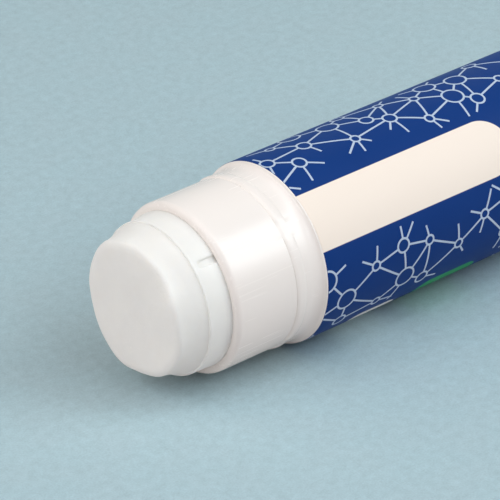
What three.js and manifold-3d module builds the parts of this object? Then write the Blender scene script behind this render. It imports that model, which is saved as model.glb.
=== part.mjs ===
// A twist-up glue stick, lying on its side with its cap off and its glue wound out.
// Every piece is drawn upright on one shared axis and measured by its station, the distance in
// millimetres from the knob's end face towards the glue's tip. The last lines lay the stick down:
// the axis along X with the tip towards -X, and the film's underside on z = 0.

import * as THREE from "three";
import { mergeVertices } from "three/addons/utils/BufferGeometryUtils.js";
import Module from "manifold-3d";

// Barrel: a moulded tube with a slimmer neck, over which the cap slides.
const boreDiameter = 22.0;
const neckWall = 1.1;
const neckLength = 14.8;
const shoulderStep = 0.9; // from the neck up to the outside of the film
const bodyLength = 62.6; // from the barrel's rear end to the front edge of the film
const rearLip = 1.2; // bare ring behind the film
const mouthRound = 0.65; // outer edge of the mouth
const mouthLead = 0.3; // inner edge of the mouth
const flareLength = 2.0; // soft flare from the film's front edge down to the cap's land
const shoulderRound = 0.35;
const landHeight = 0.1; // the cap's land stands this far above the neck
const landLength = 4.5; // from the film's front edge to the front of the land
const snapHeight = 0.16; // interrupted bead that clicks into the cap
const snapWidth = 0.7;
const snapGaps = 4;
const snapGapWidth = 1.8;

// Two ribs in the bore keep the carrier and the glue from turning.
const guideRibs = 2;
const guideRibWidth = 0.9;
const guideRibHeight = 0.55;
const guideRibSetback = 6.8; // the ribs end this far behind the mouth
const guideRibTurn = -43; // degrees from the top

// Bead at the rear of the bore that holds the knob's hub.
const catchBeadHeight = 0.45;
const catchBeadWidth = 1.2;
const catchBeadInset = 2.8; // from the barrel's rear end to the middle of the bead

// Printed film round the barrel.
const filmThickness = 0.2;
const filmGap = 0.05;

// Knob: a ribbed grip with a hub inside the barrel's rear end.
const gripLength = 10.0;
const gripInset = 0.1; // the grip is this much smaller in radius than the film
const gripRibs = 24;
const gripRibDepth = 0.5;
const gripEndRound = 1.1;
const gripFrontChamfer = 0.3;
const knobGap = 0.4; // between the grip and the barrel
const hubLength = 5.1; // inside the barrel
const hubWall = 1.5;
const endWall = 1.6;
const endRecess = 0.6;
const endRingWidth = 2.7; // flat ring that the stick stands on
const bossDiameter = 12.0;

// Screw spindle: a round-form thread, left-handed, so that a clockwise turn brings the glue out.
const threadLead = 5.0;
const threadMeanDiameter = 6.5;
const threadThrow = 0.65; // half of the thread's depth
const threadTaper = 1.6; // length of the pointed lead-in at the tip
const threadPoint = 0.4; // share of the radius left at the very tip
const spindleSetback = 6.9; // the spindle ends this far behind the mouth
const flangeDiameter = 17.0;
const flangeThickness = 1.2;
const shankAcrossFlats = 7.0;
const shankLength = 7.5;

// Carrier: a cup that holds the glue's foot, with the nut in its middle.
const carrierHeight = 7.0;
const carrierFloor = 1.2;
const carrierWall = 1.1;
const nutWall = 1.3;

// Glue, cast to the shape of the cap's inner plug at its tip.
const glueOut = 8.3; // how far it stands out of the mouth as it lies
const glueSunk = 1.0; // how far its tip lies inside the mouth when it is wound back
const tipLength = 4.15; // the narrower front stretch
const tipInset = 1.2; // the narrower stretch starts this far inside the glue's side
const tipDraft = 0.3; // and loses this much of its radius towards its face
const tipRound = 0.8;
const stepRound = 1.15; // length of the rounded edge behind the step
const stepFillet = 0.4;

// Clearances between the pieces.
const runClearance = 0.2; // between plastics that turn or slide
const glueClearance = 0.1; // between the glue and the bore
const seatGap = 0.1; // between pieces that touch and move together
const threadClearance = 0.25;
const coreClearance = 0.35; // between the spindle and the glue
const parkGap = 1.0; // between the wound-back carrier and the spindle's flange

// Facets: a flat of every round piece faces straight down.
const sides = 48;
const roundSteps = 3;
const threadSides = 12;
const ribPoints = 5; // corners to each rib of the grip
const cutOverrun = 1.0; // cutting shapes run this far past what they cut

// Radii that the pieces share.
const boreRadius = boreDiameter / 2;
const neckRadius = boreRadius + neckWall;
const landRadius = neckRadius + landHeight;
const filmRadius = neckRadius + shoulderStep;
const recessRadius = filmRadius - filmThickness - filmGap;
const gripRadius = filmRadius - gripInset;
const hubRadius = boreRadius - runClearance;
const carrierRadius = boreRadius - runClearance;
const glueRadius = boreRadius - glueClearance;
const tipBaseRadius = glueRadius - tipInset;
const tipFaceRadius = tipBaseRadius - tipDraft;
const threadCrest = threadMeanDiameter / 2 + threadThrow;
const nutRadius = threadCrest + threadClearance + nutWall;

// Stations that the pieces share.
const barrelRear = gripLength + knobGap;
const filmFront = barrelRear + bodyLength;
const mouth = filmFront + neckLength;
const hubFront = barrelRear + hubLength;
const flangeRear = hubFront + seatGap;
const flangeFront = flangeRear + flangeThickness;
const spindleTip = mouth - spindleSetback;
const windBack = glueOut + glueSunk; // the carrier's travel from here to wound back
const carrierRear = flangeFront + parkGap + windBack;
const carrierFront = carrierRear + carrierHeight;
const glueFoot = carrierRear + carrierFloor + seatGap;
const glueTip = mouth + glueOut;
const glueStep = glueTip - tipLength;
const guideRibFront = mouth - guideRibSetback;
const catchMiddle = barrelRear + catchBeadInset;

const wasm = await Module();
wasm.setup();

// A geometry with merged corners as a solid that can be joined and cut.
function solid(geometry) {
  const bare = new THREE.BufferGeometry();
  const flat = geometry.index ? geometry.toNonIndexed() : geometry;
  bare.setAttribute("position", flat.getAttribute("position"));
  const merged = mergeVertices(bare, 1e-4);
  return new wasm.Manifold(
    new wasm.Mesh({
      numProp: 3,
      vertProperties: new Float32Array(merged.attributes.position.array),
      triVerts: new Uint32Array(merged.index.array),
    }),
  );
}

// A solid as a geometry that a mesh can show.
function geometryOf(shape) {
  const { vertProperties, triVerts } = shape.getMesh();
  const geometry = new THREE.BufferGeometry();
  geometry.setAttribute("position", new THREE.BufferAttribute(vertProperties, 3));
  geometry.setIndex(new THREE.BufferAttribute(triVerts, 1));
  geometry.computeVertexNormals();
  return geometry;
}

// One corner of a revolved profile.
const at = (radius, station) => new THREE.Vector2(radius, station);

// Corners along an arc of a profile, its angles in degrees from the radial direction. An oval
// arc has its own depth along the axis.
function arc(centre, size, from, to, depth = size) {
  return Array.from({ length: roundSteps + 1 }, (_, i) => {
    const angle = THREE.MathUtils.degToRad(from + ((to - from) * i) / roundSteps);
    return at(centre.x + size * Math.cos(angle), centre.y + depth * Math.sin(angle));
  });
}

// Corners over a half-round bead, from its rear to its front. A negative height makes it inward.
function bead(radius, middle, width, height) {
  return Array.from({ length: 2 * roundSteps + 1 }, (_, i) => {
    const angle = (Math.PI * i) / (2 * roundSteps);
    return at(radius + height * Math.sin(angle), middle - (width / 2) * Math.cos(angle));
  });
}

// Corners along an S-shaped ease from one corner of a profile to another.
function ease(from, to, steps = roundSteps) {
  return Array.from({ length: steps + 1 }, (_, i) => {
    const t = i / steps;
    const eased = t * t * (3 - 2 * t);
    return at(from.x + (to.x - from.x) * eased, from.y + (to.y - from.y) * t);
  });
}

// A profile turned about the axis, with a flat facing down.
function turned(profile) {
  return solid(new THREE.LatheGeometry(profile, sides, Math.PI / sides, 2 * Math.PI));
}

// A profile that closes on itself, turned about the axis.
function turnedRing(profile) {
  return turned([...profile, profile[0]]);
}

// A plain disc or rod on the axis.
function disc(radius, from, to) {
  return turned([at(0, from), at(radius, from), at(radius, to), at(0, to)]);
}

// A tube on the axis.
function tube(innerRadius, outerRadius, from, to) {
  const outer = [at(outerRadius, from), at(outerRadius, to)];
  return turnedRing([at(innerRadius, from), ...outer, at(innerRadius, to)]);
}

// An outline drawn across the axis and extruded along it.
function prism(outline, from, to) {
  const options = { depth: to - from, bevelEnabled: false };
  const geometry = new THREE.ExtrudeGeometry(new THREE.Shape(outline), options);
  geometry.rotateX(-Math.PI / 2);
  geometry.translate(0, from, 0);
  return solid(geometry);
}

// A bar along the bore with a rounded front end, between two radii, at an angle from the top.
function guideBar({ width, from, to, innerRadius, outerRadius, degrees }) {
  const half = width / 2;
  const plan = new THREE.Shape();
  plan.moveTo(-half, from);
  plan.lineTo(half, from);
  plan.lineTo(half, to - half);
  plan.absarc(0, to - half, half, 0, Math.PI, false);
  plan.closePath();
  const depth = outerRadius - innerRadius;
  const options = { depth, bevelEnabled: false, curveSegments: 2 * roundSteps };
  const geometry = new THREE.ExtrudeGeometry(plan, options);
  geometry.translate(0, 0, innerRadius);
  geometry.rotateY(THREE.MathUtils.degToRad(degrees));
  return solid(geometry);
}

// The same bar at each guide rib, made larger by a clearance all round.
function guideBars(clearance, from, to, outerRadius) {
  return Array.from({ length: guideRibs }, (_, i) =>
    guideBar({
      width: guideRibWidth + 2 * clearance,
      from,
      to: to + clearance,
      innerRadius: boreRadius - guideRibHeight - clearance,
      outerRadius,
      degrees: guideRibTurn + (360 * i) / guideRibs,
    }),
  );
}

// The radius of the round-form thread at an angle and a station.
function threadRadius(angle, station, growth) {
  const turn = (2 * Math.PI * station) / threadLead;
  return threadMeanDiameter / 2 + growth + threadThrow * Math.cos(angle + turn);
}

// A threaded rod, larger by growth all round, pointed over its last stretch if it has a taper.
function threadedRod(from, to, growth, taper) {
  const levels = Math.ceil(((to - from) * threadSides) / threadLead);
  const positions = [0, from, 0];
  for (let level = 0; level <= levels; level += 1) {
    const station = from + ((to - from) * level) / levels;
    const grown = taper > 0 ? Math.min(1, (to - station) / taper) : 1;
    const point = threadPoint + (1 - threadPoint) * grown;
    for (let side = 0; side < threadSides; side += 1) {
      const angle = (2 * Math.PI * side) / threadSides;
      const radius = threadRadius(angle, station, growth) * point;
      positions.push(radius * Math.sin(angle), station, radius * Math.cos(angle));
    }
  }
  positions.push(0, to, 0);

  const corner = (level, side) => 1 + level * threadSides + (side % threadSides);
  const last = positions.length / 3 - 1;
  const index = [];
  for (let side = 0; side < threadSides; side += 1) {
    index.push(0, corner(0, side + 1), corner(0, side));
    index.push(last, corner(levels, side), corner(levels, side + 1));
    for (let level = 0; level < levels; level += 1) {
      const [a, b] = [corner(level, side), corner(level, side + 1)];
      const [c, d] = [corner(level + 1, side), corner(level + 1, side + 1)];
      index.push(a, b, c, b, d, c);
    }
  }
  const geometry = new THREE.BufferGeometry();
  geometry.setAttribute("position", new THREE.Float32BufferAttribute(positions, 3));
  geometry.setIndex(index);
  return solid(geometry);
}

// A six-sided rod on the axis.
function hexRod(acrossFlats, from, to) {
  const corners = Array.from({ length: 6 }, (_, i) => {
    const angle = (Math.PI * i) / 3;
    const size = acrossFlats / Math.sqrt(3);
    return at(size * Math.cos(angle), size * Math.sin(angle));
  });
  return prism(corners, from, to);
}

// The barrel: neck, land for the cap, flare, recess for the film, bore, ribs and catch bead.
function barrel() {
  const flareTop = at(filmRadius - shoulderRound, filmFront + shoulderRound);
  const landFront = filmFront + landLength;
  const outerRound = Math.min(mouthRound, 0.6 * neckWall);
  const innerRound = Math.min(mouthLead, 0.3 * neckWall);
  const rearChamfer = rearLip / 3;
  const shell = turnedRing([
    at(boreRadius + rearChamfer, barrelRear),
    at(filmRadius - rearChamfer, barrelRear),
    at(filmRadius, barrelRear + rearChamfer),
    at(filmRadius, barrelRear + rearLip),
    at(recessRadius, barrelRear + rearLip),
    at(recessRadius, filmFront),
    at(filmRadius - filmThickness / 2, filmFront),
    ...arc(at(flareTop.x, filmFront), shoulderRound, 30, 90),
    ...ease(flareTop, at(landRadius, filmFront + flareLength)).slice(1),
    at(landRadius, landFront - landHeight),
    at(neckRadius, landFront),
    ...arc(at(neckRadius - outerRound, mouth - outerRound), outerRound, 0, 90),
    ...arc(at(boreRadius + innerRound, mouth - innerRound), innerRound, 90, 180),
    ...bead(boreRadius, catchMiddle, catchBeadWidth, -catchBeadHeight).reverse(),
    at(boreRadius, barrelRear + rearChamfer),
  ]);
  const ribs = guideBars(0, hubFront + runClearance, guideRibFront, boreRadius + neckWall / 2);
  return ribs.reduce((shape, rib) => shape.add(rib), shell).add(snapBead());
}

// The bead in front of the land, interrupted so that the cap vents as it goes on.
function snapBead() {
  const middle = filmFront + landLength;
  const inside = neckRadius - snapHeight;
  const halfWidth = snapWidth / 2;
  const ring = turnedRing([
    at(inside, middle - halfWidth),
    ...bead(neckRadius, middle, snapWidth, snapHeight),
    at(inside, middle + halfWidth),
  ]);
  const gaps = Array.from({ length: snapGaps }, (_, i) => {
    const gap = new THREE.BoxGeometry(snapGapWidth, snapWidth + cutOverrun, neckRadius);
    gap.translate(0, middle, neckRadius);
    gap.rotateY((2 * Math.PI * (i + 0.5)) / snapGaps);
    return solid(gap);
  });
  return gaps.reduce((shape, gap) => shape.subtract(gap), ring);
}

// The printed film in the barrel's recess.
function film() {
  const rear = barrelRear + rearLip + filmGap;
  return tube(filmRadius - filmThickness, filmRadius, rear, filmFront - filmGap);
}

// The knob: ribbed grip, hub with a groove over the catch bead, and the spindle's socket.
function knob() {
  const grooveHalf = catchBeadWidth / 2 + runClearance;
  const grooveRadius = boreRadius - catchBeadHeight - runClearance;
  const points = gripRibs * ribPoints;
  const outline = Array.from({ length: points }, (_, i) => {
    const angle = (2 * Math.PI * i) / points;
    const dip = (gripRibDepth * (1 - Math.cos(gripRibs * angle))) / 2;
    return at((gripRadius - dip) * Math.cos(angle), (gripRadius - dip) * Math.sin(angle));
  });
  const envelope = turned([
    at(0, 0),
    ...arc(at(gripRadius - gripEndRound, gripEndRound), gripEndRound, -90, 0),
    at(gripRadius + gripFrontChamfer, gripEndRound),
    at(gripRadius + gripFrontChamfer, gripLength - 2 * gripFrontChamfer),
    at(gripRadius - gripFrontChamfer, gripLength),
    at(0, gripLength),
  ]);
  const hub = turned([
    at(0, endWall),
    at(hubRadius, endWall),
    at(hubRadius, catchMiddle - grooveHalf),
    at(grooveRadius, catchMiddle - grooveHalf),
    at(grooveRadius, catchMiddle + grooveHalf),
    at(hubRadius, catchMiddle + grooveHalf),
    at(hubRadius, hubFront - gripFrontChamfer),
    at(hubRadius - gripFrontChamfer, hubFront),
    at(0, hubFront),
  ]);
  const open = hubFront + cutOverrun;
  const recess = disc(gripRadius - gripEndRound - endRingWidth, -cutOverrun, endRecess);
  const moat = tube(bossDiameter / 2, hubRadius - hubWall, endRecess + endWall, open);
  const socketRear = flangeRear - shankLength - seatGap;
  const socket = hexRod(shankAcrossFlats + 2 * seatGap, socketRear, open);
  const grip = prism(outline, 0, gripLength).intersect(envelope);
  return grip.add(hub).subtract(recess).subtract(moat).subtract(socket);
}

// The screw spindle: hexagonal shank, flange and thread.
function spindle() {
  const shank = hexRod(shankAcrossFlats, flangeRear - shankLength, flangeRear + seatGap);
  const flange = disc(flangeDiameter / 2, flangeRear, flangeFront);
  const rod = threadedRod(flangeRear + flangeThickness / 2, spindleTip, 0, threadTaper);
  return shank.add(flange).add(rod);
}

// The carrier: cup, nut and notches over the guide ribs.
function carrier() {
  const floorFront = carrierRear + carrierFloor;
  const rear = carrierRear - cutOverrun;
  const front = carrierFront + cutOverrun;
  const cup = turned([
    at(0, carrierRear),
    at(carrierRadius - carrierFloor / 2, carrierRear),
    at(carrierRadius, carrierRear + carrierFloor / 2),
    at(carrierRadius, carrierFront),
    at(carrierRadius - carrierWall, carrierFront),
    at(carrierRadius - carrierWall, floorFront),
    at(nutRadius, floorFront),
    at(nutRadius, carrierFront - nutWall / 2),
    at(nutRadius - nutWall / 2, carrierFront),
    at(0, carrierFront),
  ]);
  const thread = threadedRod(rear, front, threadClearance, 0);
  const notches = guideBars(runClearance, rear, front, boreRadius + cutOverrun);
  return notches.reduce((shape, notch) => shape.subtract(notch), cup.subtract(thread));
}

// The glue: a cast stick with a stepped tip, a core for the spindle and tracks over the ribs.
function glue() {
  const stubRadius = carrierRadius - carrierWall - seatGap;
  const nutSleeve = nutRadius + seatGap;
  const nutFront = carrierFront + seatGap;
  const coreRadius = threadCrest + coreClearance;
  const coreFront = spindleTip + windBack + coreClearance;
  const stepEdge = at(tipBaseRadius + stepFillet, glueStep - stepRound);
  const fillet = at(tipBaseRadius + stepFillet, glueStep + stepFillet);
  const body = turned([
    at(0, glueTip),
    at(0, coreFront),
    at(coreRadius / 2, coreFront),
    at(coreRadius, coreFront - threadTaper / 2),
    at(coreRadius, nutFront),
    at(nutSleeve, nutFront),
    at(nutSleeve, glueFoot),
    at(stubRadius, glueFoot),
    at(stubRadius, nutFront),
    at(glueRadius, nutFront),
    ...arc(stepEdge, tipInset - stepFillet, 0, 90, stepRound),
    ...arc(fillet, stepFillet, 270, 190).slice(1),
    at(tipFaceRadius, glueTip - tipRound),
    ...arc(at(tipFaceRadius - tipRound, glueTip - tipRound), tipRound, 20, 90),
    at(0, glueTip),
  ]);
  const rear = glueFoot - cutOverrun;
  const tracks = guideBars(runClearance, rear, guideRibFront + windBack, boreRadius + cutOverrun);
  return tracks.reduce((shape, track) => shape.subtract(track), body);
}

const materials = {
  polypropylene: new THREE.MeshStandardMaterial({ color: 0xf4f2f0, roughness: 0.28, metalness: 0 }),
  film: new THREE.MeshStandardMaterial({ color: 0x1f3f8f, roughness: 0.35, metalness: 0 }),
  glue: new THREE.MeshStandardMaterial({ color: 0xe9e8e4, roughness: 0.6, metalness: 0 }),
  knob: new THREE.MeshStandardMaterial({ color: 0xf2f1ef, roughness: 0.32, metalness: 0 }),
  nylon: new THREE.MeshStandardMaterial({ color: 0xeceae6, roughness: 0.45, metalness: 0 }),
};

function piece(name, shape, material) {
  const mesh = new THREE.Mesh(geometryOf(shape), material);
  mesh.name = name;
  return mesh;
}

const stick = new THREE.Group();
stick.add(
  piece("barrel", barrel(), materials.polypropylene),
  piece("label_film", film(), materials.film),
  piece("base_knob", knob(), materials.knob),
  piece("screw_spindle", spindle(), materials.nylon),
  piece("glue_carrier", carrier(), materials.nylon),
  piece("glue", glue(), materials.glue),
);

// Lay the stick down, with the middle of its length over the origin.
stick.rotation.z = Math.PI / 2;
stick.position.set(glueTip / 2, 0, filmRadius * Math.cos(Math.PI / sides));

export default stick;
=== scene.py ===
"""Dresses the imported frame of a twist-up glue stick that lies uncapped, with its glue wound out.

The stick lies along X with its glue towards -X, and all its pieces share one axis. A place on a
piece is given by x, by the radius from that axis and by the angle from the top towards -Y.
"""

import logging
import math
import random
from collections.abc import Callable, Sequence
from dataclasses import dataclass, field
from enum import Enum
from itertools import combinations, pairwise
from typing import NamedTuple

import bmesh
import bpy
from mathutils import Matrix, Quaternion, Vector
from mathutils.geometry import interpolate_bezier, intersect_line_line_2d


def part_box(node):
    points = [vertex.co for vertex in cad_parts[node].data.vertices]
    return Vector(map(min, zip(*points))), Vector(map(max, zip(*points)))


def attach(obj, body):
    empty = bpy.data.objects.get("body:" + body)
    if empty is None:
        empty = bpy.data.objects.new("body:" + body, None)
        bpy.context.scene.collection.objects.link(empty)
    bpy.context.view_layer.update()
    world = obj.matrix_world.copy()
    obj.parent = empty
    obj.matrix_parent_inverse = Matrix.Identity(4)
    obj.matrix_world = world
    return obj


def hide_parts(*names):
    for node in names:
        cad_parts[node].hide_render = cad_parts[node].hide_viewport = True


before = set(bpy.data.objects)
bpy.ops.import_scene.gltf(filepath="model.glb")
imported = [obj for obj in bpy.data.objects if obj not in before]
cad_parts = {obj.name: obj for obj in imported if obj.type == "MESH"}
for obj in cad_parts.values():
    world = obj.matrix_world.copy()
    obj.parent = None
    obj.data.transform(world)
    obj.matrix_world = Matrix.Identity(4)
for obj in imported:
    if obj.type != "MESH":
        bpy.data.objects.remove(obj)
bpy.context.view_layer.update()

LOG = logging.getLogger("glue_stick")
MM = 0.001
TOUCH = 0.002 * MM
CAD_SIDES = 48
ARC_HANDLE = 0.5523  # share of the way to the corner that makes a Bezier curve a quarter circle

Colour = tuple[float, float, float, float]
Span = tuple[float, float]
Socket = bpy.types.NodeSocket
Value = float | tuple | Socket
Piece = bpy.types.Object


class Place(NamedTuple):
    """A point of the stick, by x, by its radius and by its angle from the top towards -Y."""

    x: float
    radius: float
    angle: float


class Pick(Enum):
    """What a selection takes."""

    POINTS = "VERT"
    EDGES = "EDGE"
    FACES = "FACE"


@dataclass(frozen=True)
class Corner:
    """A corner of a turned profile.

    Args:
        radius: its distance from the axis.
        x: its place along the axis.
        rounding: how far before the corner its rounded edge starts, or 0 for a sharp one.
        rounding_after: how far after the corner that edge ends, where it isn't the same.
        pitch: widest gap between the rings on the straight stretch up to it, or 0 for none.
        arc_steps: rings in the rounded edge.
    """

    radius: float
    x: float
    rounding: float = 0.0
    rounding_after: float | None = None
    pitch: float = 0.0
    arc_steps: int = 6


@dataclass(frozen=True)
class Zone:
    """A part of the stick, from one place and radius to another.

    Args:
        x: its two ends.
        radius: its least and its greatest radius.
        middles: the angles that it lies round, or none for all the way round.
        half: how far it reaches to both sides of each.
    """

    x: Span = (-math.inf, math.inf)
    radius: Span = (-math.inf, math.inf)
    middles: tuple[float, ...] = ()
    half: float = 0.0

    @classmethod
    def ring(cls, radius: float, x: float, middles: tuple[float, ...] = (), half: float = 0.0) -> "Zone":
        """One ring of a turned piece, or the parts of it round some angles."""
        return cls((x, x), (radius, radius), middles, half)

    def holds(self, place: Place) -> bool:
        """Whether a place is in the zone.

        Args:
            place: the place.

        Returns:
            True where it is.
        """
        along = self.x[0] - TOUCH < place.x < self.x[1] + TOUCH
        if not along or not self.radius[0] - TOUCH < place.radius < self.radius[1] + TOUCH:
            return False
        return not self.middles or any(angle_apart(place.angle, m) < self.half for m in self.middles)


@dataclass(frozen=True)
class StickFrame:
    """Places along the axis and radii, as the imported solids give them."""

    axis_height: float
    film_radius: float
    grip_radius: float
    glue_radius: float
    mouth: float
    barrel_rear: float
    film_front: float
    film_rear: float
    knob_front: float
    knob_rear: float
    carrier_front: float
    glue_tip: float
    glue_foot: float

    @classmethod
    def read(cls) -> "StickFrame":
        """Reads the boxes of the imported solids, which are 48-sided with flats at top and sides.

        Returns:
            The places and radii.
        """
        nodes = ("barrel", "label_film", "base_knob", "glue_carrier", "glue")
        barrel, film, knob, carrier, glue = (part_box(name) for name in nodes)
        flat_share = math.cos(math.pi / CAD_SIDES)
        radii = [(high.y - low.y) / 2 / flat_share for low, high in (film, knob, glue)]
        ends = [corner.x for corner in (*barrel, *film, *knob, carrier[0], *glue)]
        return cls((film[0].z + film[1].z) / 2, *radii, *ends)

    def point(self, place: Place) -> Vector:
        """The point of a place.

        Args:
            place: by x, radius and angle.

        Returns:
            The same in the scene's own axes.
        """
        across = -place.radius * math.sin(place.angle)
        up = self.axis_height + place.radius * math.cos(place.angle)
        return Vector((place.x, across, up))

    def place(self, point: Vector) -> Place:
        """The place of a point."""
        up = point.z - self.axis_height
        return Place(point.x, math.hypot(point.y, up), math.atan2(-point.y, up))


def angle_apart(first: float, second: float) -> float:
    """How far two angles lie apart, counted the short way."""
    return abs((first - second + math.pi) % math.tau - math.pi)


def profile_rings(profile: Sequence[Corner]) -> list[Vector]:
    """Lays out the rings of a profile, with its rounded edges and its pitched stretches.

    Args:
        profile: the corners in order.

    Returns:
        One (radius, x) vector for each ring.
    """
    sharp = [Vector((corner.radius, corner.x)) for corner in profile]
    rings = [sharp[0]]
    for index, corner in enumerate(profile[1:], start=1):
        here = stop = sharp[index]
        arc: list[Vector] = []
        if corner.rounding > 0:
            after = corner.rounding if corner.rounding_after is None else corner.rounding_after
            stop = here + (sharp[index - 1] - here).normalized() * corner.rounding
            end = here + (sharp[index + 1] - here).normalized() * after
            handles = (stop.lerp(here, ARC_HANDLE), end.lerp(here, ARC_HANDLE))
            arc = [Vector(p[:2]) for p in interpolate_bezier(stop, *handles, end, corner.arc_steps + 1)]
        start = rings[-1]
        steps = math.ceil((stop - start).length / corner.pitch) if corner.pitch else 1
        rings += [start.lerp(stop, (step + 1) / steps) for step in range(steps)]
        rings += arc[1:]
    return rings


class Bench:
    """The moves that shape the pieces."""

    def __init__(self, places: StickFrame) -> None:
        """Keeps the stick's places."""
        self.places = places

    def begin(self) -> None:
        """Deselects every object."""
        if bpy.context.mode != "OBJECT":
            bpy.ops.object.mode_set(mode="OBJECT")
        bpy.ops.object.select_all(action="DESELECT")

    def take(self, piece: Piece) -> None:
        """Selects one piece.

        Args:
            piece: the piece, which becomes the active one.
        """
        self.begin()
        piece.select_set(True)
        bpy.context.view_layer.objects.active = piece

    def open_all(self) -> None:
        """Opens the active piece in edit mode with all of it selected."""
        bpy.ops.object.mode_set(mode="EDIT")
        bpy.ops.mesh.select_all(action="SELECT")

    def turn(self, name: str, profile: Sequence[Corner], sides: int) -> Piece:
        """Turns a profile about the axis, each ring extruded from the last and resized.

        Args:
            name: the piece's name.
            profile: its corners; one at radius 0 closes the form, and a last corner at the first
                one's place closes the ring of a tube.
            sides: how many sides the turned form has.

        Returns:
            The new piece, in edit mode.
        """
        rings = profile_rings(profile)
        first = rings[0]
        self.begin()
        bpy.ops.mesh.primitive_circle_add(
            vertices=sides,
            radius=first[0],
            fill_type="NOTHING",
            location=(first[1], 0, self.places.axis_height),
            rotation=(0, math.pi / 2, 0),
        )
        piece = bpy.context.object
        piece.name = piece.data.name = name
        bpy.ops.object.transform_apply()
        self.open_all()
        for here, there in pairwise(rings):
            self.pull_ring(here, there)
        if (rings[-1] - first).length < TOUCH:
            bpy.ops.mesh.select_all(action="SELECT")
            bpy.ops.mesh.remove_doubles(threshold=TOUCH)
        return piece

    def pull_ring(self, here: Vector, there: Vector) -> None:
        """Extrudes the selected ring from one (radius, x) to another.

        Args:
            here: where the ring is.
            there: where it goes; at radius 0 it closes in a point.
        """
        bpy.ops.mesh.extrude_edges_move(TRANSFORM_OT_translate={"value": (there[1] - here[1], 0, 0)})
        if there[0] < TOUCH:
            bpy.ops.mesh.merge(type="CENTER")
        else:
            self.resize_about_axis(there[0] / here[0], there[1])

    def resize_about_axis(self, share: float, x: float = 0.0) -> None:
        """Moves the selection towards or away from the axis, to a share of its radius."""
        centre = (x, 0, self.places.axis_height)
        bpy.ops.transform.resize(value=(1, share, share), center_override=centre)

    def pick(self, kind: Pick, test: Callable[[Place], bool]) -> None:
        """Selects what lies wholly where a test says.

        Args:
            kind: points, edges or faces.
            test: says whether a place is wanted.
        """
        bpy.ops.mesh.select_mode(type=kind.value)
        bpy.ops.mesh.select_all(action="DESELECT")
        data = bpy.context.edit_object.data
        mesh = bmesh.from_edit_mesh(data)
        chosen = wanted = {v for v in mesh.verts if test(self.places.place(v.co))}
        if kind is not Pick.POINTS:
            elements = mesh.edges if kind is Pick.EDGES else mesh.faces
            chosen = [e for e in elements if all(v in wanted for v in e.verts)]
        for element in chosen:
            element.select_set(True)
        bmesh.update_edit_mesh(data, loop_triangles=False, destructive=False)

    def press(self, test: Callable[[Place], bool], share: float) -> None:
        """Moves the points where a test says to a share of their radius."""
        self.pick(Pick.POINTS, test)
        self.resize_about_axis(share)

    def raise_faces(self, zone: Zone, share: float) -> None:
        """Extrudes the faces in a zone to a share of their radius.

        Args:
            zone: where the faces lie.
            share: of their radius, above 1 for outwards.
        """
        self.pick(Pick.FACES, zone.holds)
        bpy.ops.mesh.extrude_region_move()
        self.resize_about_axis(share)

    def close_with_grid(self, radius: float, x: float, sides: int) -> None:
        """Fills one open ring with a flat grid, which has no pole."""
        self.pick(Pick.EDGES, Zone.ring(radius, x).holds)
        bpy.ops.mesh.fill_grid(span=sides // 4, offset=0)

    def put_down(self, piece: Piece, finish: "Finish", crease_degrees: float = 34) -> None:
        """Closes a piece, smooths it up to its creases and gives it its finish.

        Args:
            piece: the piece.
            finish: the finish that it takes.
            crease_degrees: edges sharper than this stay sharp.
        """
        if bpy.context.mode != "OBJECT":
            bpy.ops.mesh.select_all(action="SELECT")
            bpy.ops.mesh.normals_make_consistent(inside=False)
        self.take(piece)
        bpy.ops.object.shade_smooth_by_angle(angle=math.radians(crease_degrees))
        finish.dress(piece)

    def apply(self, piece: Piece, modifier: bpy.types.Modifier) -> None:
        """Applies a modifier to a piece."""
        self.take(piece)
        bpy.ops.object.modifier_apply(modifier=modifier.name)


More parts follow.
